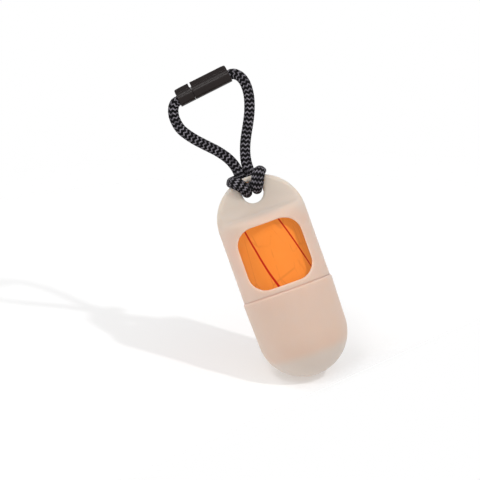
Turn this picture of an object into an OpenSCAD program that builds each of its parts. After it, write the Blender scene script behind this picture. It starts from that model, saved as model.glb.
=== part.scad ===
// Pet waste bag dispenser: a soft capsule in two parts that holds a roll of bags,
// hung from a braided cord loop that closes in a small breakaway connector.
// The origin is the hang point on the underside of the connector, straight above
// the capsule's axis. +Z runs up along that axis and the window faces -Y.

/* [Shell] */
// Distance from the hang point down to the top of the capsule
hang_drop = 40.8; // [40.6:0.1:41]
// Wall of the capsule
wall = 2; // [1.6:0.1:2.4]
// Space between the roll and the wall, all around
roll_gap = 2.7; // [2.4:0.1:3.2]
// Space between the roll's top end and the ceiling
head_gap = 1.6; // [1:0.1:4]
// Radius where the wall turns into the ceiling, inside
ceiling_round = 2.5; // [1:0.1:3]

/* [Shoulder and tab] */
// Thickness of the flat tab that the cord is hitched to
tab_t = 4.4; // [3.6:0.1:4.6]
// Rounding of the tab's outer edge
tab_round = 1.5; // [1.2:0.1:1.7]
// Bore through the tab
hole_d = 9.6; // [9.4:0.1:10.4]
// Distance from the capsule's top to the middle of the bore
hole_drop = 7.4; // [7.2:0.05:7.5]
// Chamfer on both mouths of the bore
hole_chamfer = 0.8; // [0.6:0.1:1.2]
// Height of the rounded shoulder above the straight wall
shoulder_h = 3.2; // [2.6:0.1:3.8]
// Half thickness of the shoulder where it meets the tab's fillet
shoulder_neck = 6; // [5:0.1:7]
// Height of the fillet between shoulder and tab
neck_h = 3; // [2:0.1:3.4]

/* [Window] */
// Width of the dispensing window
window_w = 29; // [22:0.2:31]
// Height of the window
window_h = 27.8; // [20:0.2:30]
// Corner radius of the window
window_round = 7.8; // [3:0.1:9]
// Distance from the start of the shoulder down to the window
window_drop = 2.2; // [2:0.1:5]
// Distance from the window down to the seam
seam_drop = 2.8; // [2.2:0.1:5]

/* [Cup] */
// How far the cup's rim stands proud of the upper shell
rim_step = 0.55; // [0.3:0.05:1]
// Wall of the cup at its rim
rim_wall = 1.85; // [1.5:0.05:2.1]
// Gap between the cup's rim and the upper shell
seam_gap = 0.1; // [0.05:0.05:0.4]
// Length of the spigot that the cup is pushed onto
spigot_len = 8; // [5:0.5:9]
// Wall of the spigot
spigot_wall = 1.4; // [1:0.1:1.5]
// Clearance around the spigot
spigot_gap = 0.3; // [0.2:0.05:0.5]
// Clearance around the spigot's grip ring
grip_gap = 0.05; // [0.02:0.01:0.1]
// Height of the grip ring
grip_h = 1.4; // [0.8:0.1:2]
// How far the cup stays wide below the spigot
ledge_drop = 1.2; // [0.6:0.1:3]
// Distance from the root of the spigot up to the window
root_gap = 0.4; // [0.2:0.1:1]

/* [Roll of bags] */
// Diameter of the wound roll
roll_d = 30.6; // [28:0.2:33]
// Length of the roll
roll_len = 60; // [54:0.5:64]
// Outer diameter of the cardboard core
core_d = 9.5; // [8.4:0.1:13]
// Wall of the core
core_wall = 0.7; // [0.4:0.05:1.2]
// How far the core stands back from each end of the roll
core_recess = 0.5; // [0.1:0.1:2]
// Clearance between the roll's lower edge and the cup
seat_gap = 0.2; // [0.1:0.05:0.3]

/* [Cord] */
// Diameter of the braided cord
cord_d = 4.4; // [4:0.1:4.4]
// Clearance around the cord in the connector
cord_gap = 0.15; // [0.1:0.05:0.25]

/* [Connector] */
// Diameter of the connector's round body
barrel_d = 6.2; // [6.1:0.1:6.8]
// Height of the flat fin on top of the round body
fin_h = 1.9; // [1.2:0.1:2.6]
// Thickness of the fin
fin_t = 2.4; // [1.6:0.1:3.2]
// Tilt of the connector in the hanging loop
barrel_tilt = 7.2; // [6.8:0.1:7.6]
// Distance from the hang point to the socket's open end
socket_end = 8.2; // [8:0.1:8.4]
// Length of the socket half
socket_len = 17.8; // [17:0.1:18.5]
// Length of the plug half, without its post
plug_len = 7.2; // [7:0.1:8.5]
// Gap between the two halves
part_gap = 0.1; // [0.05:0.05:0.3]
// Notch in the fin where the halves meet
notch_w = 0.8; // [0.4:0.1:1.6]
// Depth of the cord's pocket in the socket
socket_pocket = 6; // [4:0.1:6.5]
// Depth of the cord's pocket in the plug
plug_pocket = 4.4; // [3:0.1:5]
// Diameter of the post's snap head
head_d = 3.9; // [3.6:0.1:4]
// Diameter of the post behind its head
post_d = 3.4; // [2.8:0.1:3.4]
// Length of the post
post_len = 8.4; // [6:0.1:9]
// Length of the snap head
head_len = 2.4; // [1.8:0.1:3]
// Slit that lets the two prongs of the post spring
slit_w = 0.7; // [0.4:0.1:1]
// Clearance around the snap head in the socket's mouth
snap_gap = 0.05; // [0.02:0.01:0.1]
// How much wider the socket is behind its mouth
snap_relief = 0.15; // [0.1:0.05:0.2]
// Length of the socket's narrow mouth
mouth_len = 2; // [1:0.1:3]
// Room past the tip of the post
post_room = 0.4; // [0.2:0.1:0.8]
// Solid foot of the post, before its slit
post_foot = 1.5; // [1:0.1:2.5]

/* [Hidden] */
bag_count = 15;
function bag_name(i) = str("bag_", i < 10 ? "0" : "", i);

$fn = 96;
over = 1;
roll_r = roll_d / 2;
inner_r = roll_r + roll_gap;
body_r = inner_r + wall;
rim_r = body_r + rim_step;
bore_r = rim_r - rim_wall;
spigot_r = bore_r - spigot_gap;

// Heights, from the top of the capsule down.
top_z = -hang_drop;
arc_z = top_z - body_r;
shoulder_z = arc_z - window_drop / 2;
window_top = arc_z - window_drop;
window_z = window_top - window_h / 2;
seam_z = window_top - window_h - seam_drop;
roll_top = arc_z - head_gap;
roll_z = roll_top - roll_len;
seat_r = roll_r + seat_gap;
dome_z = roll_z + sqrt(inner_r * inner_r - seat_r * seat_r);
hole_z = top_z - hole_drop;
ledge_z = seam_z - spigot_len - ledge_drop;

// The core and the bags share the roll's end face area evenly.
core_r = core_d / 2;
function bag_r(i) = sqrt(core_r * core_r + i / bag_count * (roll_r * roll_r - core_r * core_r));

// Places along the connector, in its own tilted frame.
barrel_r = barrel_d / 2;
part_x = socket_end - socket_len;
plug_face = part_x - part_gap;
plug_end = plug_face - plug_len;
pocket_r = cord_d / 2 + cord_gap;
snap_r = head_d / 2 + snap_gap;
relief_r = snap_r + snap_relief;
socket_depth = post_len - part_gap + post_room;

// Points on the connector's axis, in the part's frame.
function barrel_point(s) = [
    s * cos(barrel_tilt) - barrel_r * sin(barrel_tilt),
    0,
    s * sin(barrel_tilt) + barrel_r * cos(barrel_tilt)
];

// The cord leaves the plug, comes down on the left behind the tab, goes through the
// bore, over the top of the tab and behind both legs, and back up on the right.
cord_exit = 0.7;
cord_end_gap = 0.1;
cord_points = [
    [-19.8, 0.1, -0.3], [-21.1, 0.3, -2.9], [-21.5, 0.6, -6.5], [-20.4, 1, -11.5],
    [-16.8, 1.7, -16.8], [-12.6, 2.4, -21.4], [-8.4, 3.1, -25.8], [-5.2, 3.8, -30.2],
    [-3.6, 4.4, -34.4], [-3, 4.7, -38.6], [-2.8, 4.7, -42.4], [-2.6, 4.2, -45],
    [-2.4, 2.4, -47], [-2.4, 0, -47.6], [-2.4, -2.4, -47], [-2.8, -4.2, -45.2],
    [-4, -4.8, -43.4], [-5.6, -4.8, -41.6], [-6.8, -3.6, -40.2], [-7.5, -1.3, -39.6],
    [-7.7, 1.5, -39.7], [-7.8, 4.7, -40.2], [-6.5, 8.1, -40.4], [-3.4, 9.7, -40.4],
    [-0.4, 9.9, -40.3],
    [2.6, 9.7, -40.2], [5.7, 8.1, -40], [7, 4.7, -39.8], [6.8, 1.5, -39.4],
    [6.5, -1.3, -39.3], [5.9, -3.6, -39.8], [4.8, -4.8, -41.3], [3.4, -4.8, -43.2],
    [2.4, -4.2, -45.2], [2.2, -2.4, -47], [2.2, 0, -47.6], [2.2, 2.4, -47],
    [2.2, 4.2, -45], [2.1, 4.7, -42.4], [2.1, 4.7, -39.4], [2.2, 4.5, -36],
    [2.8, 4, -32], [4.2, 3.4, -27.8], [6.1, 2.8, -23.6], [8.3, 2.1, -19.2],
    [10.4, 1.5, -14.6], [12.1, 1, -10], [13, 0.7, -6], [13.1, 0.4, -1.8],
    [12.2, 0.2, 1.4], [10.5, 0.1, 3.4]
];
cord_path = concat(
    [barrel_point(plug_end + plug_pocket - cord_end_gap), barrel_point(plug_end - cord_exit)],
    cord_points,
    [barrel_point(socket_end + cord_exit), barrel_point(socket_end - socket_pocket + cord_end_gap)]
);
cord_sides = 10;

function unit(v) = v / norm(v);

// Direction of the cord at each point: the mean of the stretches on both sides.
function direction(p, i) =
    i == 0 ? unit(p[1] - p[0])
    : i == len(p) - 1 ? unit(p[i] - p[i - 1])
    : unit(unit(p[i] - p[i - 1]) + unit(p[i + 1] - p[i]));

// A sideways vector at each point that is carried along the path without a twist.
function carried(p, i, side) = unit(side - (side * direction(p, i)) * direction(p, i));
function sideways(p, i, side, done) =
    i == len(p) ? done
    : sideways(p, i + 1, carried(p, i, side), concat(done, [carried(p, i, side)]));

module tube(path, r, sides) {
    n = len(path);
    side = sideways(path, 0, [0, 1, 0], []);
    points = [
        for (i = [0:n - 1], k = [0:sides - 1])
            let (
                a = 360 * k / sides,
                up = cross(direction(path, i), side[i])
            )
            path[i] + r * (cos(a) * side[i] + sin(a) * up)
    ];
    walls = [
        for (i = [0:n - 2], k = [0:sides - 1])
            let (k2 = (k + 1) % sides)
            [i * sides + k, (i + 1) * sides + k, (i + 1) * sides + k2, i * sides + k2]
    ];
    ends = [
        [for (k = [0:sides - 1]) k],
        [for (k = [0:sides - 1]) n * sides - 1 - k]
    ];
    polyhedron(points, concat(walls, ends), convexity = 10);
}

module rounded_rect(w, h, r) {
    square([w - 2 * r, h], center = true);
    square([w, h - 2 * r], center = true);
    for (x = [-1, 1], y = [-1, 1])
        translate([x * (w / 2 - r), y * (h / 2 - r)]) circle(r);
}

// Side view of the shoulder, (y, z): a quarter ellipse from the wall and a hollow one
// up to the tab.
module shoulder_profile() {
    reach = body_r - shoulder_neck;
    half = tab_t / 2;
    crown_z = arc_z + shoulder_h;
    rise = crown_z - shoulder_z;
    steps = 12;
    outline = concat(
        [[0, shoulder_z - over], [body_r, shoulder_z - over]],
        [for (k = [0:steps]) let (a = 90 * k / steps)
            [shoulder_neck + reach * cos(a), shoulder_z + rise * sin(a)]],
        [for (k = [1:steps]) let (a = 90 * k / steps)
            [shoulder_neck - (shoulder_neck - half) * sin(a), crown_z + neck_h * (1 - cos(a))]],
        [[0, crown_z + neck_h]]
    );
    polygon(outline);
    mirror([1, 0]) polygon(outline);
}

module shoulder() {
    intersection() {
        union() {
            translate([0, 0, arc_z]) sphere(r = body_r);
            translate([0, 0, shoulder_z]) cylinder(r = body_r, h = arc_z - shoulder_z);
        }
        rotate([90, 0, 90])
            linear_extrude(2 * body_r + over, center = true) shoulder_profile();
    }
}

// A disc with a rounded edge, standing on the capsule's axis.
module tab() {
    flat = tab_t / 2 - tab_round;
    translate([0, 0, arc_z]) rotate([90, 0, 0]) {
        cylinder(r = body_r - tab_round, h = tab_t, center = true);
        cylinder(r = body_r, h = 2 * flat, center = true);
        for (s = [-1, 1])
            translate([0, 0, s * flat])
                rotate_extrude() translate([body_r - tab_round, 0]) circle(tab_round, $fn = 48);
    }
}

module tab_hole() {
    half = tab_t / 2;
    translate([0, 0, hole_z]) rotate([90, 0, 0]) {
        cylinder(d = hole_d, h = tab_t + 2 * over, center = true);
        for (s = [0, 1])
            mirror([0, 0, s])
                translate([0, 0, half - hole_chamfer])
                    cylinder(
                        r1 = hole_d / 2,
                        r2 = hole_d / 2 + hole_chamfer + over,
                        h = hole_chamfer + over
                    );
    }
}

// Room for the roll, round in plan, with a rounded ceiling.
module cavity() {
    r = ceiling_round;
    translate([0, 0, seam_z]) cylinder(r = inner_r, h = arc_z - r - seam_z);
    translate([0, 0, seam_z]) cylinder(r = inner_r - r, h = arc_z - seam_z);
    translate([0, 0, arc_z - r])
        rotate_extrude() translate([inner_r - r, 0]) circle(r, $fn = 48);
}

module window_cut() {
    translate([0, 0, window_z]) rotate([90, 0, 0])
        linear_extrude(body_r + over) rounded_rect(window_w, window_h, window_round);
}

// The thin ring that the cup is pushed onto, with a grip ring near its end.
module spigot() {
    lap = seam_drop - root_gap;
    difference() {
        union() {
            translate([0, 0, seam_z - spigot_len]) cylinder(r = spigot_r, h = spigot_len);
            translate([0, 0, seam_z]) cylinder(r = inner_r + wall / 2, h = lap);
            translate([0, 0, seam_z - spigot_len + grip_h])
                cylinder(r = bore_r - grip_gap, h = grip_h);
        }
        translate([0, 0, seam_z - spigot_len - over])
            cylinder(r = spigot_r - spigot_wall, h = spigot_len + over);
        translate([0, 0, seam_z]) cylinder(r1 = spigot_r - spigot_wall, r2 = inner_r, h = lap);
    }
}

module upper_shell() {
    color([0.93, 0.88, 0.80])
        difference() {
            union() {
                difference() {
                    union() {
                        translate([0, 0, seam_z]) cylinder(r = body_r, h = shoulder_z - seam_z);
                        shoulder();
                        tab();
                    }
                    cavity();
                }
                spigot();
            }
            tab_hole();
            window_cut();
        }
}

module lower_cup() {
    color([0.93, 0.86, 0.78])
        difference() {
            union() {
                translate([0, 0, dome_z])
                    cylinder(r1 = body_r, r2 = rim_r, h = seam_z - seam_gap - dome_z);
                translate([0, 0, dome_z]) sphere(r = body_r);
            }
            translate([0, 0, dome_z]) sphere(r = inner_r);
            translate([0, 0, dome_z]) cylinder(r = inner_r, h = seam_z - dome_z);
            translate([0, 0, ledge_z]) cylinder(r = bore_r, h = seam_z - ledge_z);
            translate([0, 0, ledge_z - bore_r + inner_r])
                cylinder(r1 = inner_r, r2 = bore_r, h = bore_r - inner_r);
            translate([0, 0, seam_z - seam_gap]) cylinder(r = body_r + over, h = body_r);
        }
}

module ring(r_out, r_in, z, h) {
    translate([0, 0, z])
        difference() {
            cylinder(r = r_out, h = h);
            translate([0, 0, -over]) cylinder(r = r_in, h = h + 2 * over);
        }
}

module bag_core() {
    color([0.62, 0.50, 0.38])
        ring(core_r, core_r - core_wall, roll_z + core_recess, roll_len - 2 * core_recess);
}

// The bags are one perforated strip wound on the core: each bag is a ring of its turns.
module bag(i) {
    color([0.98, 0.55, 0.18]) ring(bag_r(i), bag_r(i - 1), roll_z, roll_len);
}

module lanyard_cord() {
    color([0.15, 0.15, 0.16]) tube(cord_path, cord_d / 2, cord_sides);
}

// Puts its children on the connector's axis, with +Z along it toward the socket's end.
module on_barrel() {
    translate(barrel_point(0)) rotate([0, 90 - barrel_tilt, 0]) children();
}

// A round body with a flat fin on top, from s0 to s1 along the connector.
module barrel_half(s0, s1, notch_at_start) {
    fin_from = notch_at_start ? s0 + notch_w / 2 : s0;
    fin_to = notch_at_start ? s1 : s1 - notch_w / 2;
    translate([0, 0, s0]) cylinder(d = barrel_d, h = s1 - s0);
    translate([-barrel_r - fin_h, -fin_t / 2, fin_from])
        cube([barrel_r + fin_h, fin_t, fin_to - fin_from]);
}

module connector_socket() {
    color([0.16, 0.15, 0.15])
        on_barrel()
            difference() {
                barrel_half(part_x, socket_end, true);
                translate([0, 0, part_x - over]) cylinder(r = snap_r, h = mouth_len + over);
                translate([0, 0, part_x + mouth_len])
                    cylinder(r = relief_r, h = socket_depth - mouth_len);
                translate([0, 0, socket_end - socket_pocket])
                    cylinder(r = pocket_r, h = socket_pocket + over);
            }
}

module connector_plug() {
    color([0.16, 0.15, 0.15])
        on_barrel()
            difference() {
                union() {
                    barrel_half(plug_end, plug_face, false);
                    translate([0, 0, plug_face - over]) cylinder(d = post_d, h = post_len + over);
                    translate([0, 0, plug_face + post_len - head_len])
                        cylinder(d = head_d, h = head_len / 2);
                    translate([0, 0, plug_face + post_len - head_len / 2])
                        cylinder(d1 = head_d, d2 = post_d, h = head_len / 2);
                }
                translate([0, 0, plug_end - over]) cylinder(r = pocket_r, h = plug_pocket + over);
                translate([-slit_w / 2, -head_d, plug_face + post_foot])
                    cube([slit_w, 2 * head_d, post_len]);
            }
}

upper_shell();
lower_cup();
bag_core();
lanyard_cord();
connector_socket();
connector_plug();
for (i = [1:bag_count])
    bag(i);
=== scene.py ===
import math

import bmesh
import bpy
import numpy as np
from mathutils import Matrix, Vector


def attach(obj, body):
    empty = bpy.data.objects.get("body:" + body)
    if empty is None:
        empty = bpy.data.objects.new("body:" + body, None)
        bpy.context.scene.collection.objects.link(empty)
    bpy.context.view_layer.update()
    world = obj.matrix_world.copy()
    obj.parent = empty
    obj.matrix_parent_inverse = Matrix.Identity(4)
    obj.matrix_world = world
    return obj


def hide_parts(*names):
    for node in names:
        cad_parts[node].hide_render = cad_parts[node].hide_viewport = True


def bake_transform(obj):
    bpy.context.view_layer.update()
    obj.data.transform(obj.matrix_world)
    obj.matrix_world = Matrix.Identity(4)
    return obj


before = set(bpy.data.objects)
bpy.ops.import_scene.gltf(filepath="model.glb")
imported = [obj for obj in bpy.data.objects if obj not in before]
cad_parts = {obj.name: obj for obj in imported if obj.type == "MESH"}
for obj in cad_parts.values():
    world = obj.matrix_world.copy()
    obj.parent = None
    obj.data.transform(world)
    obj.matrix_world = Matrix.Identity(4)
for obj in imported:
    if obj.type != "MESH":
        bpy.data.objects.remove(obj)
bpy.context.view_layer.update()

# ---------------------------------------------------------------------------
# Camera
# A long lens square to the window. The capsule leans 19.6 degrees to the left in
# the picture, so the camera is rolled by that much.
# ---------------------------------------------------------------------------
MM = 0.001
LEAN = math.radians(19.6)
VIEW_WIDTH = 211.9 * MM
VIEW_DISTANCE = 0.9
VIEW_CENTRE = Vector((-12.3, 0, -66.1)) * MM

view_right = Vector((math.cos(LEAN), 0, -math.sin(LEAN)))
view_up = Vector((math.sin(LEAN), 0, math.cos(LEAN)))
view_back = view_right.cross(view_up)
camera_data = bpy.data.cameras.new("camera")
camera_data.sensor_width = 36
camera_data.lens = camera_data.sensor_width * VIEW_DISTANCE / VIEW_WIDTH
camera_data.clip_start = 0.01
camera = bpy.data.objects.new("camera", camera_data)
bpy.context.collection.objects.link(camera)
turn = Matrix((view_right, view_up, view_back)).transposed()
camera.matrix_world = Matrix.Translation(VIEW_CENTRE + view_back * VIEW_DISTANCE) @ turn.to_4x4()
bpy.context.scene.camera = camera


# ---------------------------------------------------------------------------
# Lanyard cord
# One length of 4.4 mm braided polyester, black and grey. It runs from the plug down
# behind the tab, is hitched through the bore, and runs back up to the socket.
# ---------------------------------------------------------------------------
CORD_D = 4.4 * MM
CORD_R = 2.36 * MM
BARREL_TILT = math.radians(7.2)
BARREL_R = 3.1 * MM
PLUG_END = -16.9 * MM
PLUG_POCKET = 4.3 * MM
SOCKET_END = 8.2 * MM
SOCKET_POCKET = 5.9 * MM
CORD_EXIT = 0.7 * MM
# The route of the solid cord, moved by up to 1.2 mm where the real cord and the soft
# tab give way to each other in the hitch.
ROUTE_MM = [
    (-19.8, 0.1, -0.3), (-21.1, 0.3, -2.9), (-21.5, 0.6, -6.5), (-20.4, 1, -11.5),
    (-16.8, 1.7, -16.8), (-12.6, 2.4, -21.4), (-8.4, 3.1, -25.8), (-5.1, 3.8, -30.4),
    (-3.4, 4.4, -34.6), (-2.85, 4.7, -38.6), (-2.7, 4.7, -42.4), (-2.6, 4.2, -45),
    (-2.4, 2.4, -47), (-2.36, 0, -47.5), (-2.4, -2.4, -47.1), (-2.9, -4.2, -45.7),
    (-4, -4.8, -43.9), (-5.4, -4.8, -42.3), (-6.4, -3.6, -41.3), (-6.9, -1.3, -40.9),
    (-7, 1.5, -40.8), (-7.2, 4.7, -40.8), (-6.2, 8.1, -40.6), (-3.4, 9.7, -40.4),
    (-0.4, 9.9, -40.3),
    (2.6, 9.7, -40.3), (5.3, 8.1, -40.2), (6.3, 4.7, -40), (6.3, 1.5, -39.8),
    (6.1, -1.3, -39.8), (5.7, -3.6, -40.3), (4.9, -4.8, -41.7), (4, -4.8, -43.5),
    (3.1, -4.2, -45.4), (2.5, -2.4, -46.9), (2.36, 0, -47.4), (2.3, 2.4, -47),
    (2.2, 4.2, -45), (2.1, 4.7, -42.4), (1.95, 4.7, -39.4), (1.75, 4.5, -36),
    (2.4, 4, -32), (3.75, 3.4, -27.8), (5.7, 2.8, -23.6), (8.1, 2.1, -19.2),
    (10.4, 1.5, -14.6), (12.1, 1, -10), (13, 0.7, -6), (13.1, 0.4, -1.8),
    (12.2, 0.2, 1.4), (10.5, 0.1, 3.4),
]
barrel_along = np.array([math.cos(BARREL_TILT), 0, math.sin(BARREL_TILT)])
barrel_up = np.array([-math.sin(BARREL_TILT), 0, math.cos(BARREL_TILT)])


def barrel_point(along):
    """A point on the axis of the connector's barrel."""
    return along * barrel_along + BARREL_R * barrel_up


def smooth_line(points, step):
    """A Catmull-Rom curve through the points, resampled evenly about every step."""
    p = np.array(points, float)
    p = np.concatenate([[2 * p[0] - p[1]], p, [2 * p[-1] - p[-2]]])
    t = np.linspace(0, 1, 24, endpoint=False)[:, None]
    fine = [
        0.5 * (
            2 * b + (c - a) * t + (2 * a - 5 * b + 4 * c - d) * t**2
            + (3 * b - a - 3 * c + d) * t**3
        )
        for a, b, c, d in zip(p[:-3], p[1:-2], p[2:-1], p[3:])
    ]
    fine = np.concatenate(fine + [p[-2:-1]])
    along = np.concatenate([[0], np.cumsum(np.linalg.norm(np.diff(fine, axis=0), axis=1))])
    at = np.linspace(0, along[-1], round(along[-1] / step) + 1)
    return np.stack([np.interp(at, along, fine[:, k]) for k in range(3)], axis=1)


def frames_along(line):
    """Two sideways vectors at each point of the line, carried along it without a twist."""
    ahead = np.gradient(line, axis=0)
    ahead /= np.linalg.norm(ahead, axis=1)[:, None]
    side = np.zeros_like(line)
    last = np.array([0.0, 1.0, 0.0])
    for i, d in enumerate(ahead):
        last = last - last.dot(d) * d
        last /= np.linalg.norm(last)
        side[i] = last
    return side, np.cross(ahead, side)


CORD_STEP = 0.16 * MM
cord_route = np.concatenate([
    [barrel_point(PLUG_END + PLUG_POCKET), barrel_point(PLUG_END - CORD_EXIT)],
    np.array(ROUTE_MM) * MM,
    [barrel_point(SOCKET_END + CORD_EXIT), barrel_point(SOCKET_END - SOCKET_POCKET)],
])
cord_line = smooth_line(cord_route, CORD_STEP)

# The braid: a black and a grey row, 2 mm long together, run round the cord in seven
# zigzags that rise 0.42 of that. The rows stand out as ridges, and each yarn is lower
# where it dives under the next.
ROW_PAIR = 2.0
ZIGZAGS = 7
ZIGZAG_RISE = 0.42
CORD_SIDES = 70
RIDGE = 0.18 * MM
YARN_DIVE = 0.45

# Pulled tight, the hitch is pressed flat against the tab: its strands in front and on
# top, and the foot of the right leg, are wider and thinner than the free cord.
TAB_CENTRE = np.array([0, 0, -60.8]) * MM
TAB_RIM = 18.5 * MM
PRESS = 0.4 * MM
EVEN_OUT = 24
WIDER_RIGHT = 0.23
WIDER_LEFT = 0.18
WIDER_FOOT = 0.05
THINNER_POWER = -0.75
HITCH_ROWS = 0.1
HITCH_ZIGZAGS = 12
DRAWN_IN_POCKET = 0.05
DRAWN_IN_BORE = 0.01


def ramp(values, start, end):
    """0 before start, 1 after end, and a smooth rise between them."""
    t = np.clip((values - start) / (end - start), 0, 1)
    return t * t * (3 - 2 * t)


def tab_side(line):
    """The direction in which the tab presses on each point of the line."""
    flat = (line - TAB_CENTRE) * (1, 0, 1)
    reach = np.linalg.norm(flat, axis=1)[:, None]
    nearest = TAB_CENTRE + flat * np.minimum(1, TAB_RIM / reach)
    away = line - nearest
    return away / np.linalg.norm(away, axis=1)[:, None]


def widths(line):
    """How much wider than the free cord each point is, and how tight the tab is there."""
    x, y, z = line.T / MM
    front = ramp(-y, 1.5, 3.6) * ramp(z, -48, -44.5)
    top = ramp(z, -43.5, -41) * ramp(-z, 38, 39) * ramp(-np.abs(y), -4, -3) * ramp(np.abs(x), 4, 6)
    foot = ramp(y, 2.5, 4) * ramp(-z, 29, 35) * ramp(z, -47, -44) * ramp(-y, -6, -5.2)
    tight = np.maximum(front, top)
    on_right = x > 0
    wider = np.maximum(
        tight * np.where(on_right, WIDER_RIGHT, WIDER_LEFT),
        foot * np.where(on_right, WIDER_FOOT, 0),
    )
    return 1 + wider, tight


def braid_height(turns, along_mm):
    """How far the yarns stand out, from 0 in the grooves to 1 on a yarn's back."""
    zigzag = 1 - np.abs(turns % 1 * 2 - 1)
    row = 2 * (along_mm / ROW_PAIR + zigzag * ZIGZAG_RISE)
    back = np.sqrt(np.abs(np.sin(math.pi * row)))
    middle = np.sqrt(np.abs(np.sin(2 * math.pi * turns)))
    return back * (1 - YARN_DIVE + YARN_DIVE * middle)


cord_width, cord_tight = widths(cord_line)
cord_line = cord_line - (PRESS * cord_tight)[:, None] * tab_side(cord_line)
for _ in range(EVEN_OUT):
    cord_line[1:-1] = (cord_line[:-2] + 2 * cord_line[1:-1] + cord_line[2:]) / 4
cord_side, cord_over = frames_along(cord_line)
# In the hitch the rows of the braid are pushed together and its zigzags are finer.
in_hitch = ramp(-cord_line[:, 2] / MM, 37, 39.5)
braid_mm = np.concatenate([[0], np.cumsum(CORD_STEP / MM * (1 + HITCH_ROWS * in_hitch[1:]))])
braid_zigzags = ZIGZAGS + (HITCH_ZIGZAGS - ZIGZAGS) * in_hitch
cord_flat = tab_side(cord_line)
cord_wide = np.cross(np.cross(cord_side, cord_over), cord_flat)
cord_wide /= np.linalg.norm(cord_wide, axis=1)[:, None]
cord_flat = np.cross(cord_wide, np.cross(cord_side, cord_over))
# It is drawn in a little where it passes through the bore and into the connector.
in_bore = ramp(-np.abs(cord_line[:, 1]) / MM, -3.4, -2.2) * ramp(-cord_line[:, 2] / MM, 44.5, 46)
ring_numbers = np.arange(len(cord_line))
from_end = np.minimum(ring_numbers, ring_numbers[::-1]) * CORD_STEP / MM
in_pocket = ramp(-from_end, -6, -4)
cord_r = CORD_R * (1 - DRAWN_IN_POCKET * in_pocket - DRAWN_IN_BORE * in_bore)


def cord_mesh(name, first, last):
    """The braided tube along the cord's line, from one ring to another, with closed ends."""
    rings = np.arange(first, last + 1)
    around = np.arange(CORD_SIDES) / CORD_SIDES
    angle = 2 * math.pi * around
    along_mm = braid_mm[rings]
    zigzags = braid_zigzags[rings]
    ridge = braid_height(around[None, :] * zigzags[:, None], along_mm[:, None])
    radius = cord_r[rings, None] - RIDGE * (1 - ridge)
    outward = (
        np.cos(angle)[None, :, None] * cord_side[rings][:, None, :]
        + np.sin(angle)[None, :, None] * cord_over[rings][:, None, :]
    )
    wider = cord_width[rings]
    thinner = wider ** THINNER_POWER
    for direction, factor in ((cord_wide[rings], wider), (cord_flat[rings], thinner)):
        part = np.einsum("rkd,rd->rk", outward, direction)
        outward = outward + ((factor - 1)[:, None] * part)[..., None] * direction[:, None, :]
    points = cord_line[rings][:, None, :] + radius[..., None] * outward
    count = len(rings)
    i, k = np.meshgrid(np.arange(count - 1), np.arange(CORD_SIDES), indexing="ij")
    k2 = (k + 1) % CORD_SIDES
    here, ahead = i * CORD_SIDES, (i + 1) * CORD_SIDES
    walls = np.stack([here + k, here + k2, ahead + k2, ahead + k], axis=-1).reshape(-1, 4)
    last_ring = (count - 1) * CORD_SIDES
    ends = [list(range(CORD_SIDES))[::-1], list(range(last_ring, last_ring + CORD_SIDES))]
    mesh = bpy.data.meshes.new(name)
    mesh.from_pydata(points.reshape(-1, 3).tolist(), [], walls.tolist() + ends)
    corner = np.stack([i, i, i + 1, i + 1], axis=-1)
    across = np.stack([k, k + 1, k + 1, k], axis=-1) / CORD_SIDES * zigzags[corner]
    length = along_mm[corner]
    uv = np.concatenate([np.stack([across, length], axis=-1).ravel(), np.zeros(4 * CORD_SIDES)])
    mesh.uv_layers.new(name="braid").data.foreach_set("uv", uv.astype(np.float32))
    mesh.shade_smooth()
    piece = bpy.data.objects.new(name, mesh)
    bpy.context.collection.objects.link(piece)
    return piece


def linear(hex_colour):
    """An sRGB hex colour as the linear RGBA that shaders take."""
    channels = [int(hex_colour[i:i + 2], 16) / 255 for i in (1, 3, 5)]
    return [c / 12.92 if c <= 0.04045 else ((c + 0.055) / 1.055) ** 2.4 for c in channels] + [1]


def add(mat, kind, inputs=(), **settings):
    """Adds a shader node. An input is a value, a socket, or a node for its first output."""
    node = mat.node_tree.nodes.new("ShaderNode" + kind)
    for key, value in settings.items():
        setattr(node, key, value)
    for socket, value in inputs.items() if isinstance(inputs, dict) else enumerate(inputs):
        if isinstance(value, bpy.types.Node):
            value = value.outputs[0]
        if isinstance(value, bpy.types.NodeSocket):
            mat.node_tree.links.new(value, node.inputs[socket])
        else:
            node.inputs[socket].default_value = value
    return node


def material(name):
    """An empty material, for add to fill."""
    made = bpy.data.materials.new(name)
    made.use_nodes = True
    made.node_tree.nodes.clear()
    return made


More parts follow.
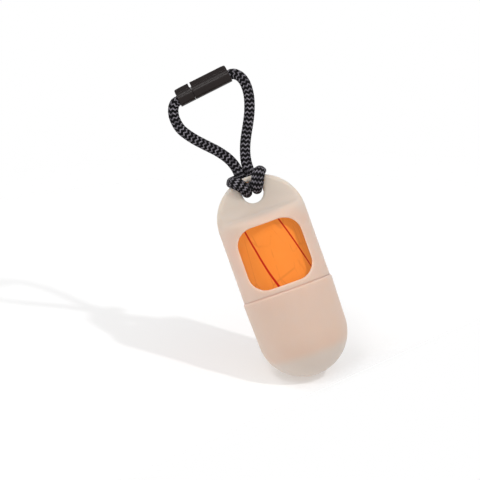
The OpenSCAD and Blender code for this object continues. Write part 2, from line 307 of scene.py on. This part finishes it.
def braided_polyester():
    """Spun polyester yarn, black and grey: matte, with a faint fuzz at grazing angles."""
    mat = material("braided_polyester")
    parts = add(mat, "SeparateXYZ", [add(mat, "UVMap", uv_map="braid")])
    around, along = parts.outputs[0], parts.outputs[1]
    turns = add(mat, "Math", [around, 2.0], operation="MULTIPLY")
    zigzag = add(mat, "Math", [turns, 1.0], operation="PINGPONG")
    rise = add(mat, "Math", [zigzag, ZIGZAG_RISE], operation="MULTIPLY")
    rows = add(mat, "Math", [along, 1 / ROW_PAIR, rise], operation="MULTIPLY_ADD")
    girth = add(mat, "Math", [around, math.pi * CORD_D / MM / ZIGZAGS], operation="MULTIPLY")
    spot = add(mat, "CombineXYZ", [girth, along])
    # Loose fibres blur the rows' edges by about a tenth of a millimetre.
    fibres = add(mat, "TexNoise", {"Vector": spot, "Scale": 4.0, "Detail": 3.0, "Roughness": 0.7})
    stray = add(mat, "Math", [fibres, 0.24, -0.12], operation="MULTIPLY_ADD")
    row = add(mat, "Math", [add(mat, "Math", [rows, stray], operation="ADD")], operation="FRACT")
    # Grey takes 0.3 of each pair of rows, and each stitch of it is a little lighter or
    # darker than the next.
    from_grey = add(mat, "Math", [row, 0.75], operation="SUBTRACT")
    middle = add(mat, "Math", [from_grey], operation="ABSOLUTE")
    grey = add(mat, "MapRange", {0: middle, 1: 0.2, 2: 0.11}, interpolation_type="SMOOTHSTEP")
    stitch = add(mat, "CombineXYZ", [
        add(mat, "Math", [turns], operation="FLOOR"), add(mat, "Math", [rows], operation="FLOOR"),
    ])
    each = add(mat, "TexWhiteNoise", {"Vector": stitch}, noise_dimensions="2D")
    light = add(mat, "MixRGB", [each, linear("#4F4C52"), linear("#8F8B92")])
    colour = add(mat, "MixRGB", [grey, linear("#070608"), light])
    # Three plies lie side by side in each row.
    plies = add(mat, "Math", [rows, 6 * math.pi], operation="MULTIPLY")
    ply = add(mat, "Math", [add(mat, "Math", [plies], operation="SINE")], operation="ABSOLUTE")
    relief = add(mat, "Math", [fibres, 0.8, ply], operation="MULTIPLY_ADD")
    bump = add(mat, "Bump", {"Height": relief, "Strength": 0.6, "Distance": 0.08 * MM})
    shader = add(mat, "BsdfPrincipled", {
        "Base Color": colour, "Roughness": 0.8, "Normal": bump, "Specular IOR Level": 0.1,
        "Sheen Weight": 0.02, "Sheen Roughness": 0.5,
    })
    add(mat, "OutputMaterial", [shader])
    return mat


# The end in the plug is a piece of its own. The two pieces meet on the left leg.
SPLIT_AT = 34 * MM
UNBENT_RINGS = 20
HITCH_BEND_MM = [(-0.4, 4.6, -31), (-0.4, 4.7, -37.4)]
split_ring = round(SPLIT_AT / CORD_STEP)
plug_bend = (cord_line[split_ring - UNBENT_RINGS], cord_route[2])
hitch_bend = np.array(HITCH_BEND_MM) * MM
cord_material = braided_polyester()
cord_runs = []
for name, first, last, moved_by, bend in (
    ("cord_plug_run", 0, split_ring, "plug", plug_bend),
    ("cord_hitch_run", split_ring, len(cord_line) - 1, "capsule", hitch_bend),
):
    run = cord_mesh(name, first, last)
    run.data.materials.append(cord_material)
    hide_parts("lanyard_cord")
    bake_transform(run)
    cord_runs.append((run, first, last))


# ---------------------------------------------------------------------------
# Connector
# Two black halves of injection-moulded acetal. The fin lies along the top and the
# plug's slit post snaps into the socket.
# ---------------------------------------------------------------------------
# Where the halves meet, in mm along the barrel.
PARTING = -9.65
CONNECTOR_VOXEL = 0.11 * MM


def rounded_copy(node, name, voxel, easings, tilt=0):
    """A closed copy of a CAD node, with its edges rounded as a mould leaves them. Each
    easing is a number of passes and how strong they are at a point given in mm. A
    tilted piece is laid level for the remesh, so that its flat faces stay flat."""
    level = Matrix.Rotation(tilt, 4, "Y")
    piece = bpy.data.objects.new(name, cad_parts[node].data.copy())
    piece.data.transform(level)
    piece.data.materials.clear()
    bpy.context.collection.objects.link(piece)
    remesh = piece.modifiers.new("skin", "REMESH")
    remesh.mode = "VOXEL"
    remesh.voxel_size = voxel
    bpy.context.view_layer.update()
    skin = piece.evaluated_get(bpy.context.evaluated_depsgraph_get())
    mesh = bpy.data.meshes.new_from_object(skin)
    mesh.transform(level.inverted())
    piece.modifiers.clear()
    piece.data = mesh
    points = np.empty(len(mesh.vertices) * 3)
    mesh.vertices.foreach_get("co", points)
    points = points.reshape(-1, 3)
    edges = np.empty(len(mesh.edges) * 2, int)
    mesh.edges.foreach_get("vertices", edges)
    a, b = np.concatenate([edges, edges.reshape(-1, 2)[:, ::-1].ravel()]).reshape(-1, 2).T
    neighbours = np.bincount(a, minlength=len(points))[:, None]
    # A pass moves a point up to half way to the mean of its neighbours.
    for passes, strength in easings:
        share = 0.5 * strength(*points.T / MM)[:, None]
        for _ in range(passes):
            around = [np.bincount(a, weights=points[b, k], minlength=len(points)) for k in range(3)]
            points = points + share * (np.stack(around, axis=1) / neighbours - points)
    mesh.vertices.foreach_set("co", points.ravel())
    mesh.shade_smooth()
    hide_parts(node)
    return piece


def everywhere(x, y, z):
    """All the edges alike."""
    return np.ones_like(x)


def moulded_acetal():
    """Black acetal from a lightly blasted mould: a soft broad highlight."""
    mat = material("moulded_acetal")
    place = add(mat, "TexCoord").outputs["Object"]
    # The blasted grain is about 0.05 mm, drawn at 0.3 mm so that it shows.
    grain = add(mat, "TexNoise", {"Vector": place, "Scale": 3200.0, "Detail": 2.0})
    # Hands have rubbed it in patches about 4 mm across.
    rubbed = add(mat, "TexNoise", {"Vector": place, "Scale": 260.0, "Detail": 4.0})
    rough = add(mat, "MapRange", {0: rubbed, 3: 0.26, 4: 0.36})
    colour = add(mat, "MixRGB", [rubbed, linear("#120A09"), linear("#1D1210")])
    bump = add(mat, "Bump", {"Height": grain, "Strength": 0.15, "Distance": 0.03 * MM})
    shader = add(mat, "BsdfPrincipled", {
        "Base Color": colour, "Roughness": rough, "Normal": bump, "Specular IOR Level": 0.24,
    })
    add(mat, "OutputMaterial", [shader])
    return mat


def outer_edges(x, y, z):
    """All the edges, apart from those a millimetre round the parting line, which stay crisp."""
    along = x * barrel_along[0] + z * barrel_along[2]
    return 1 - ramp(-np.abs(along - PARTING), -1.6, -1.1)


def fin_corners(x, y, z):
    """The two far corners of the fin, which are rounder than the other edges."""
    along = x * barrel_along[0] + z * barrel_along[2]
    height = x * barrel_up[0] + z * barrel_up[2]
    return np.maximum(ramp(-along, 14.5, 15.5), ramp(along, 6.2, 7.2)) * ramp(height, 6.6, 7.2)


CONNECTOR_EASE = [(5, outer_edges), (120, fin_corners)]
acetal = moulded_acetal()
# Each run of the cord is held in the pocket of one half.
for (run, first, last), node, body in zip(
    cord_runs, ("connector_plug", "connector_socket"), ("plug", "lanyard")
):
    half = rounded_copy(node, "moulded_" + node, CONNECTOR_VOXEL, CONNECTOR_EASE, BARREL_TILT)
    half.data.materials.append(acetal)
    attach(half, body)


# ---------------------------------------------------------------------------
# Upper shell
# Moulded in milky, slightly translucent silicone rubber with a fine matte skin. The
# orange roll's glow through it is painted in as a warm tint; the solid tab stays greyer.
# ---------------------------------------------------------------------------
# The roll's glow through the wall is painted in between these two pairs of heights, and
# the painted tint fades in over each of them.
TINT_BELOW = (-125.5 * MM, -120.5 * MM)
TINT_ABOVE = (-50 * MM, -66 * MM)


def milky_silicone(name, clear, warm):
    """Milky silicone rubber: light scatters through about two millimetres of it."""
    mat = material(name)
    place = add(mat, "TexCoord").outputs["Object"]
    height = add(mat, "SeparateXYZ", [place]).outputs[2]
    above = add(
        mat, "MapRange", {0: height, 1: TINT_BELOW[0], 2: TINT_BELOW[1]},
        interpolation_type="SMOOTHSTEP",
    )
    below = add(
        mat, "MapRange", {0: height, 1: TINT_ABOVE[0], 2: TINT_ABOVE[1]},
        interpolation_type="SMOOTHSTEP",
    )
    behind = add(mat, "Math", [above, below], operation="MULTIPLY")
    # The painted tint is stronger where the film lies closer, in patches about 14 mm across.
    cloud = add(mat, "TexNoise", {"Vector": place, "Scale": 70.0, "Detail": 3.0})
    patch = add(mat, "Math", [cloud, 0.7, 0.4], operation="MULTIPLY_ADD")
    painted_roll_tint = add(mat, "Math", [behind, patch], operation="MULTIPLY", use_clamp=True)
    # The warm colour is the roll's glow through the wall, painted into the wall's colour.
    colour = add(mat, "MixRGB", [painted_roll_tint, linear(clear), linear(warm)])
    # The blasted mould leaves a grain of about 0.1 mm, drawn at 0.8 mm so that it shows,
    # on a soft skin that sways every 6 mm.
    skin = add(mat, "TexNoise", {"Vector": place, "Scale": 1200.0, "Detail": 4.0, "Roughness": 0.6})
    sway = add(mat, "TexNoise", {"Vector": place, "Scale": 160.0, "Detail": 2.0})
    relief = add(mat, "Math", [skin, 0.35, sway], operation="MULTIPLY_ADD")
    bump = add(mat, "Bump", {"Height": relief, "Strength": 0.3, "Distance": 0.15 * MM})
    rough = add(mat, "MapRange", {0: skin, 3: 0.42, 4: 0.58})
    shader = add(mat, "BsdfPrincipled", {
        "Base Color": colour, "Roughness": rough, "Normal": bump, "Specular IOR Level": 0.35,
        "Subsurface Weight": 1.0, "Subsurface Radius": (2.8, 2.4, 2.0), "Subsurface Scale": 1 * MM,
    })
    add(mat, "OutputMaterial", [shader])
    return mat


def shoulder(x, y, z):
    """The shoulder, where the mould blends the round body into the flat tab."""
    heights = ramp(z, -63.4, -61.2) * ramp(-z, 51, 54.5)
    return heights * ramp(np.abs(y), 1.4, 2.3) * ramp(-np.abs(x), -19.9, -18.6)


SHELL_VOXEL = 0.44 * MM
SHELL_EASE = [(5, everywhere), (150, shoulder)]
# The bottom edge, in mm, and how far in and up from it the moulded rounding reaches.
SHELL_R = 20.0
SHELL_END = -93.6
EDGE_IN = 1.2
EDGE_UP = 1.6
shell = rounded_copy("upper_shell", "silicone_upper_shell", SHELL_VOXEL, SHELL_EASE)
# The bottom edge is cut square, so that it closes on the cup's rim.
for vertex in shell.data.vertices:
    x, y, z = vertex.co / MM
    reach = math.hypot(x, y)
    if reach > SHELL_R - EDGE_IN and z < SHELL_END + EDGE_UP:
        if SHELL_R - reach < z - SHELL_END:
            vertex.co = Vector((x * SHELL_R / reach, y * SHELL_R / reach, z)) * MM
        else:
            vertex.co.z = SHELL_END * MM
shell.data.materials.append(milky_silicone("milky_silicone_shell", "#D5CABE", "#DBBEAB"))
# The milky wall passes the room's soft light on to the roll and shades it from the
# lamps alone.
shell.visible_diffuse = False
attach(shell, "capsule")


# ---------------------------------------------------------------------------
# Lower cup
# Moulded in the same silicone and pushed onto the shell's spigot. Its rim has a thin
# lip that closes round the bottom edge of the shell.
# ---------------------------------------------------------------------------
# Radii and heights of its profile, in mm.
SEAM_Z = SHELL_END
DOME_Z = -113.3
CUP_R = 20.0
RIM_R = 20.53
BORE_R = 18.7
INNER_R = 18.0
LEDGE_Z = -102.8
LEDGE_DROP = 0.7
LIP_R = 20.03
LIP_TOP = SEAM_Z + 0.3
LIP_EASE = 1.0
MOUTH_ROUND = 0.3
MOUTH_Z = SEAM_Z - 0.4
CUP_SIDES = 192


def arc(centre_r, centre_z, radius, start, end, steps):
    """Points of an arc in the (r, z) plane, with its angles in degrees."""
    angles = [math.radians(degrees) for degrees in np.linspace(start, end, steps)]
    return [(centre_r + radius * math.cos(a), centre_z + radius * math.sin(a)) for a in angles]


def straight(a, b, steps):
    """Points between a and b, without them."""
    parts = np.linspace(0, 1, steps + 2)[1:-1]
    return [tuple(np.array(a) + (np.array(b) - a) * t) for t in parts]


def turned(name, profile_mm, sides):
    """A solid of revolution from a profile that starts and ends on the axis."""
    mesh = bpy.data.meshes.new(name)
    form = bmesh.new()
    rings = []
    for r, z in profile_mm:
        spread = [0] if r < 1e-6 else np.linspace(0, 2 * math.pi, sides, endpoint=False)
        spots = [(r * MM * math.cos(a), r * MM * math.sin(a), z * MM) for a in spread]
        rings.append([form.verts.new(spot) for spot in spots])
    for low, high in zip(rings, rings[1:]):
        for k in range(sides):
            corners = [low[k % len(low)], low[(k + 1) % len(low)]]
            corners += [high[(k + 1) % len(high)], high[k % len(high)]]
            form.faces.new(list(dict.fromkeys(corners)))
    bmesh.ops.recalc_face_normals(form, faces=form.faces)
    form.to_mesh(mesh)
    form.free()
    mesh.shade_smooth()
    piece = bpy.data.objects.new(name, mesh)
    bpy.context.collection.objects.link(piece)
    return piece


cup_profile = (
    arc(0, DOME_Z, CUP_R, -90, 0, 40)
    + straight((CUP_R, DOME_Z), (RIM_R, LIP_TOP - LIP_EASE), 24)
    + [
        (LIP_R + (RIM_R - LIP_R) * (1 + math.cos(math.pi * t)) / 2, LIP_TOP - LIP_EASE * (1 - t))
        for t in np.linspace(0, 1, 9)
    ]
    + [(LIP_R, SEAM_Z - 0.06), (LIP_R - 0.05, SEAM_Z - 0.1)]
    + arc(BORE_R + MOUTH_ROUND, MOUTH_Z, MOUTH_ROUND, 90, 180, 5)
    + straight((BORE_R, MOUTH_Z), (BORE_R, LEDGE_Z), 8)
    + [(BORE_R, LEDGE_Z), (INNER_R, LEDGE_Z - LEDGE_DROP)]
    + straight((INNER_R, LEDGE_Z - LEDGE_DROP), (INNER_R, DOME_Z), 10)
    + arc(0, DOME_Z, INNER_R, 0, -90, 36)
)
cup_profile[0] = (0, DOME_Z - CUP_R)
cup_profile[-1] = (0, DOME_Z - INNER_R)
cup = turned("silicone_lower_cup", cup_profile, CUP_SIDES)
cup.data.materials.append(milky_silicone("milky_silicone_cup", "#D5C6BA", "#DBBEAB"))
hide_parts("lower_cup")
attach(cup, "cup")


# ---------------------------------------------------------------------------
# Roll of bags
# Thin orange polyethylene film, folded and wound tight on a cardboard core. Each
# bag is one perforated length of it, and thin red lines are printed along the strip.
# ---------------------------------------------------------------------------
# The roll as wound, in mm.
ROLL_R = 15.3
ROLL_TOP = -62.4
ROLL_BOTTOM = -122.4
BAG_WALL = 0.46
FILM_AROUND = 240
FILM_ALONG = 120
# How far the film stands back from the roll's full radius, in mm.
SLACK = 0.1
WAVE = 0.04
CREASES = 26
CREASE_WIDTH = 0.4
DEEPEST = 0.34


def film_relief(arc_mm, height_mm):
    """How far the wound film stands back, in mm: soft waves and the creases of its folds."""
    angle = arc_mm / ROLL_R
    back = SLACK + WAVE * np.sin(3 * angle + 0.09 * height_mm)
    back = back + WAVE * np.sin(5 * angle - 0.13 * height_mm + 1)
    picks = np.random.default_rng(7)
    # Each crease has a middle, a lean, half a length and a depth.
    for _ in range(CREASES):
        middle = np.array([picks.uniform(-48, 48), picks.uniform(ROLL_BOTTOM, ROLL_TOP)])
        lean = math.radians(picks.uniform(-75, 75))
        half = picks.uniform(5, 12)
        deep = picks.uniform(0.04, 0.1)
        d = np.stack([arc_mm - middle[0], height_mm - middle[1]])
        along = d[0] * math.sin(lean) + d[1] * math.cos(lean)
        off = d[0] * math.cos(lean) - d[1] * math.sin(lean)
        fade = np.clip(2 - 2 * np.abs(along) / half, 0, 1)
        back = back + deep * fade * np.exp(-((off / CREASE_WIDTH) ** 2))
    return np.clip(back, 0, DEEPEST)


def wound_film(name):
    """The outer bag on the roll: a thin sleeve, mapped in mm round it and along it."""
    around = np.arange(FILM_AROUND + 1) / FILM_AROUND
    heights = np.linspace(ROLL_BOTTOM, ROLL_TOP, FILM_ALONG + 1)
    a, h = np.meshgrid((around - 0.5) * 2 * math.pi * ROLL_R, heights, indexing="ij")
    outer = ROLL_R - film_relief(a, h)
    inner = np.full_like(outer, ROLL_R - BAG_WALL)
    angle = a / ROLL_R
    sheets = []
    for radius in (outer, inner):
        sheet = np.stack([radius * np.sin(angle), -radius * np.cos(angle), h], axis=-1)
        sheets.append(sheet[:-1] * MM)
    rows = FILM_ALONG + 1
    count = FILM_AROUND * rows
    faces = []
    places = []
    for k in range(FILM_AROUND):
        k2 = (k + 1) % FILM_AROUND
        for j in range(FILM_ALONG):
            face = [k * rows + j, k2 * rows + j, k2 * rows + j + 1, k * rows + j + 1]
            corners = [(k, j), (k + 1, j), (k + 1, j + 1), (k, j + 1)]
            faces += [face, [count + n for n in face[::-1]]]
            places += corners + corners[::-1]
        for j, flip in ((0, 1), (FILM_ALONG, -1)):
            rim = [k * rows + j, count + k * rows + j, count + k2 * rows + j, k2 * rows + j]
            faces.append(rim[::flip])
            places += [(k, j), (k, j), (k + 1, j), (k + 1, j)][::flip]
    mesh = bpy.data.meshes.new(name)
    mesh.from_pydata(np.concatenate([s.reshape(-1, 3) for s in sheets]).tolist(), [], faces)
    spots = np.array(places)
    arcs = (spots[:, 0] / FILM_AROUND - 0.5) * 2 * math.pi * ROLL_R
    uv = np.stack([arcs, heights[spots[:, 1]]], axis=-1)
    mesh.uv_layers.new(name="wound").data.foreach_set("uv", uv.ravel().astype(np.float32))
    mesh.shade_smooth()
    piece = bpy.data.objects.new(name, mesh)
    bpy.context.collection.objects.link(piece)
    return piece


# The printed lines: their places, in mm, are those at the height of the window's top
# edge, and their lean is a slope.
LINES = 5
LINE_GAP = 2 * math.pi * ROLL_R / LINES
LINES_FROM = 63.6
FIRST_LINE = 10.73
HALF_LINE = 0.34
LINE_BLUR = 0.6
LINE_LEAN = 0.293
LEAN_SWAY = 0.118
SWAY_FROM = math.radians(10)
CROWDING = 2.22
WANDER = 0.9


def printed_film():
    """Blown polyethylene film: satin, a little translucent, with fine creases."""
    mat = material("printed_film")
    wound = add(mat, "UVMap", uv_map="wound")
    parts = add(mat, "SeparateXYZ", [wound])
    across, height = parts.outputs[0], parts.outputs[1]
    # The strip is wound slightly askew, so the lines lean by 13 to 20 degrees, stand
    # closer together on one side and wander by under a millimetre every 14 mm.
    angle = add(mat, "Math", [across, 1 / ROLL_R], operation="MULTIPLY")
    shifted = add(mat, "Math", [angle, SWAY_FROM], operation="SUBTRACT")
    sway = add(mat, "Math", [shifted], operation="SINE")
    askew = add(mat, "Math", [sway, LEAN_SWAY, LINE_LEAN], operation="MULTIPLY_ADD")
    drop = add(mat, "Math", [height, LINES_FROM], operation="ADD")
    start = add(mat, "Math", [drop, askew, across], operation="MULTIPLY_ADD")
    start_angle = add(mat, "Math", [start, 1 / ROLL_R], operation="MULTIPLY")
    pull = add(mat, "Math", [start_angle], operation="SINE")
    even = add(mat, "Math", [pull, CROWDING, start], operation="MULTIPLY_ADD")
    wander = add(mat, "TexNoise", {"Vector": wound, "Scale": 0.07, "Detail": 1.0})
    swayed = add(mat, "Math", [wander, WANDER, even], operation="MULTIPLY_ADD")
    # Lines at even gaps: how far this spot is from the nearest one.
    first = FIRST_LINE / LINE_GAP + 0.5
    gaps = add(mat, "Math", [swayed, 1 / LINE_GAP, first], operation="MULTIPLY_ADD")
    part = add(mat, "Math", [gaps], operation="FRACT")
    cell = add(mat, "Math", [part, 0.5], operation="SUBTRACT")
    away = add(mat, "Math", [cell], operation="ABSOLUTE")
    line = add(
        mat, "MapRange", {0: away, 1: LINE_BLUR / LINE_GAP, 2: HALF_LINE / LINE_GAP},
        interpolation_type="SMOOTHSTEP",
    )
    # The turns below show through as blotches a centimetre across.
    blotch = add(mat, "TexNoise", {"Vector": wound, "Scale": 0.12, "Detail": 3.0})
    film = add(mat, "MixRGB", [blotch, linear("#FD8930"), linear("#FF943E")])
    # Painted shade darkens faint straight creases, 1 to 2 cm apart, and each fades in places.
    slant = add(mat, "Mapping", {
        "Vector": wound, "Rotation": (0, 0, 0.5), "Scale": (1.7, 0.7, 1.0),
    })
    folds = add(mat, "TexVoronoi", {"Vector": slant, "Scale": 0.08}, feature="DISTANCE_TO_EDGE")
    painted_crease_shade = add(mat, "MapRange", {0: folds, 1: 0.045, 2: 0.0})
    sharp = add(mat, "MapRange", {0: blotch, 1: 0.44, 2: 0.6, 4: 0.45})
    faint = add(mat, "Math", [painted_crease_shade, sharp], operation="MULTIPLY")
    # Painted shade along the creases.
    film_with_painted_creases = add(mat, "MixRGB", [faint, film, linear("#D5702A")])
    colour = add(mat, "MixRGB", [line, film_with_painted_creases, linear("#C61C0A")])
    # Winding has left fine crumples 2 mm apart, drawn out along the roll.
    stretch = add(mat, "Mapping", {"Vector": wound, "Scale": (1.0, 0.22, 1.0)})
    crumple = add(mat, "TexNoise", {
        "Vector": stretch, "Scale": 0.5, "Detail": 5.0, "Roughness": 0.62,
    })
    bump = add(mat, "Bump", {"Height": crumple, "Strength": 0.4, "Distance": 0.25 * MM})
    shader = add(mat, "BsdfPrincipled", {
        "Base Color": colour, "Roughness": 0.46, "Normal": bump, "Specular IOR Level": 0.12,
        "Subsurface Weight": 0.1, "Subsurface Radius": (1.0, 0.5, 0.2), "Subsurface Scale": 1 * MM,
    })
    add(mat, "OutputMaterial", [shader])
    return mat


def layered_film():
    """The turns of film inside the roll, seen on its ends as fine uneven rings."""
    mat = material("layered_film")
    place = add(mat, "TexCoord").outputs["Object"]
    flat = add(mat, "Mapping", {"Vector": place, "Scale": (1.0, 1.0, 0.0)})
    radius = add(mat, "VectorMath", [flat], operation="LENGTH").outputs["Value"]
    # The edges of the film are ragged by up to half a millimetre, every 2 mm.
    ragged = add(mat, "TexNoise", {"Vector": place, "Scale": 500.0, "Detail": 3.0})
    shifted = add(mat, "Math", [ragged, 0.5 * MM, radius], operation="MULTIPLY_ADD")
    # A fold of film is about 0.12 mm thick, drawn as rings 0.35 mm apart so that they show.
    turns = add(mat, "Math", [shifted, 1 / (0.35 * MM)], operation="MULTIPLY")
    ring = add(mat, "Math", [turns, 0.5], operation="PINGPONG")
    deep = add(mat, "Math", [ring, 2.0], operation="MULTIPLY")
    # Each ring is darker where it is low: painted shade in the grooves between the turns.
    colour = add(mat, "MixRGB", [deep, linear("#D9601A"), linear("#FA9543")])
    bump = add(mat, "Bump", {"Height": deep, "Strength": 0.8, "Distance": 0.3 * MM})
    shader = add(mat, "BsdfPrincipled", {
        "Base Color": colour, "Roughness": 0.5, "Normal": bump, "Subsurface Weight": 0.2,
        "Subsurface Radius": (1.5, 0.8, 0.3), "Subsurface Scale": 1 * MM,
    })
    add(mat, "OutputMaterial", [shader])
    return mat


outer_bag = wound_film("film_outer_bag")
outer_bag.data.materials.append(printed_film())
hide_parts("bag_15")
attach(outer_bag, "roll")
layers = layered_film()
for number in range(1, 15):
    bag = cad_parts[f"bag_{number:02d}"]
    bag.material_slots[0].material = layers


# ---------------------------------------------------------------------------
# Core
# A cardboard tube wound from strips of grey-brown paper: matte and fibrous, with
# the edges of the strips running round it in a screw line.
# ---------------------------------------------------------------------------
def wound_cardboard():
    """Spiral-wound cardboard: dull, with fibres along the strip and a seam line."""
    mat = material("wound_cardboard")
    place = add(mat, "TexCoord").outputs["Object"]
    parts = add(mat, "SeparateXYZ", [place])
    angle = add(mat, "Math", [parts.outputs[0], parts.outputs[1]], operation="ARCTAN2")
    turn_part = add(mat, "Math", [angle, 1 / (2 * math.pi)], operation="MULTIPLY")
    # The strip is 14 mm wide.
    screw = add(mat, "Math", [parts.outputs[2], 1 / (14 * MM), turn_part], operation="MULTIPLY_ADD")
    edge = add(mat, "Math", [screw, 0.5], operation="PINGPONG")
    seam = add(mat, "MapRange", {0: edge, 1: 0.03, 2: 0.01})
    # Paper fibres are about 0.03 mm wide, drawn at 0.8 mm so that they show.
    fibre = add(mat, "TexNoise", {
        "Vector": place, "Scale": 1300.0, "Detail": 5.0, "Roughness": 0.65,
    })
    paper = add(mat, "MixRGB", [fibre, linear("#86735F"), linear("#B39F88")])
    colour = add(mat, "MixRGB", [seam, paper, linear("#5E4F40")])
    bump = add(mat, "Bump", {"Height": fibre, "Strength": 0.5, "Distance": 0.1 * MM})
    shader = add(mat, "BsdfPrincipled", {
        "Base Color": colour, "Roughness": 0.9, "Normal": bump, "Specular IOR Level": 0.2,
    })
    add(mat, "OutputMaterial", [shader])
    return mat


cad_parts["bag_core"].material_slots[0].material = wound_cardboard()


# ---------------------------------------------------------------------------
# Floor, backdrop and light
# A white sweep that the capsule's rounded end rests on, as it leans back, a white
# room that is brighter on the left, in front and below, a small lamp at the right,
# and softboxes above and in front.
# ---------------------------------------------------------------------------
FLOOR_NORMAL = Vector((0.317, -0.326, 0.891)).normalized()
FLOOR_R = 0.6
FLOOR_GAP = 0.1
FRONT = Vector((0.7, -0.714, 0))
FRONT_FROM = 4 * MM
FRONT_TO = 22 * MM
GLOW_FROM = 0.06
GLOW_NEAR = 0.13
GLOW_FAR = 0.24
FADE_FROM = 0.18
FADE_TO = 0.36
SKY_DARK = 0.54
SKY_BRIGHT = 0.93
SKY_FROM = Vector((-0.7, -0.5, -0.5))
# Each softbox: where it stands, how far off, its width and its power.
SOFTBOXES = {
    "key": ((0.7, -0.6, 0.36), 0.8, 0.035, 1.65),
    "top": ((-0.2, -0.25, 0.95), 0.9, 0.25, 0.8),
    "front": ((-0.06, -0.74, 0.64), 1.1, 0.22, 1.32),
}
LAMPS_AIM = Vector((0, 0, -80)) * MM
touch = Vector((0, 0, DOME_Z)) * MM - FLOOR_NORMAL * (CUP_R + FLOOR_GAP) * MM


def seen_rays(owner):
    """1 for a ray that sees the card or the room, straight on or in a reflection."""
    rays = add(owner, "LightPath").outputs
    camera_ray, clear_ray = rays["Is Camera Ray"], rays["Is Transmission Ray"]
    straight_on = add(owner, "Math", [camera_ray, clear_ray], operation="MAXIMUM")
    return add(owner, "Math", [straight_on, rays["Is Glossy Ray"]], operation="MAXIMUM")


def white_sweep():
    """White card. It fades out far from the object and is clear from below, so that no
    edge shows, and its own glow keeps it white around the shadow."""
    mat = material("white_sweep")
    card = add(mat, "BsdfDiffuse", {"Color": (0.9, 0.9, 0.9, 1)})
    place = add(mat, "TexCoord").outputs["Object"]
    reach = add(mat, "VectorMath", [place], operation="LENGTH").outputs["Value"]
    # The lamps reach the far floor less, and its glow makes up for that.
    level = add(mat, "MapRange", {0: reach, 1: GLOW_FROM, 2: FADE_TO, 3: GLOW_NEAR, 4: GLOW_FAR})
    bright = add(mat, "Math", [seen_rays(mat), level], operation="MULTIPLY")
    glow = add(mat, "Emission", {"Color": (1, 1, 1, 1), "Strength": bright})
    lit = add(mat, "AddShader", [card, glow])
    fade = add(
        mat, "MapRange", {0: reach, 1: FADE_FROM, 2: FADE_TO},
        interpolation_type="SMOOTHSTEP",
    )
    # It ends just in front of the capsule, where no shadow falls, and hides nothing there.
    spot = add(mat, "NewGeometry").outputs
    ahead = add(mat, "VectorMath", [spot["Position"], FRONT], operation="DOT_PRODUCT")
    under = touch.dot(FRONT)
    front = add(
        mat, "MapRange",
        {0: ahead.outputs["Value"], 1: under + FRONT_FROM, 2: under + FRONT_TO},
        interpolation_type="SMOOTHSTEP",
    )
    outside = add(mat, "Math", [fade, front], operation="MAXIMUM")
    hide = add(mat, "Math", [outside, spot["Backfacing"]], operation="MAXIMUM")
    both = add(mat, "MixShader", [hide, lit, add(mat, "BsdfTransparent")])
    add(mat, "OutputMaterial", [both])
    return mat


floor_mesh = bpy.data.meshes.new("floor")
disc = bmesh.new()
bmesh.ops.create_circle(disc, cap_ends=True, segments=96, radius=FLOOR_R)
disc.to_mesh(floor_mesh)
disc.free()
floor_mesh.materials.append(white_sweep())
floor = bpy.data.objects.new("floor", floor_mesh)
bpy.context.collection.objects.link(floor)
floor_turn = FLOOR_NORMAL.to_track_quat("Z", "Y").to_matrix().to_4x4()
floor.matrix_world = Matrix.Translation(touch) @ floor_turn
# The room lights the object from below as well, so that no dark spot is left on the
# end that stands on the card.
floor.visible_diffuse = False
floor.visible_shadow = False

# The room is white where it is seen, straight on or in a reflection, and lights the
# object at a plain level.
world = bpy.data.worlds.new("studio")
bpy.context.scene.world = world
world.use_nodes = True
world.node_tree.nodes.clear()
heading = add(world, "TexCoord").outputs["Generated"]
toward = add(world, "VectorMath", [heading, SKY_FROM], operation="DOT_PRODUCT").outputs["Value"]
sky = add(world, "MapRange", {0: toward, 1: -1.0, 3: SKY_DARK, 4: SKY_BRIGHT})
strength = add(world, "MapRange", {0: seen_rays(world), 3: sky, 4: 1.0})
room = add(world, "Background", {"Color": (1, 1, 1, 1), "Strength": strength})
add(world, "OutputWorld", [room])

for name, (side, distance, size, power) in SOFTBOXES.items():
    softbox = bpy.data.lights.new(name, "AREA")
    softbox.shape = "DISK"
    softbox.size = size
    softbox.energy = power
    lamp = bpy.data.objects.new(name, softbox)
    bpy.context.collection.objects.link(lamp)
    facing = Vector(side).normalized()
    place = Matrix.Translation(LAMPS_AIM + facing * distance)
    lamp.matrix_world = place @ facing.to_track_quat("Z", "Y").to_matrix().to_4x4()

bpy.context.scene.view_settings.view_transform = "Standard"
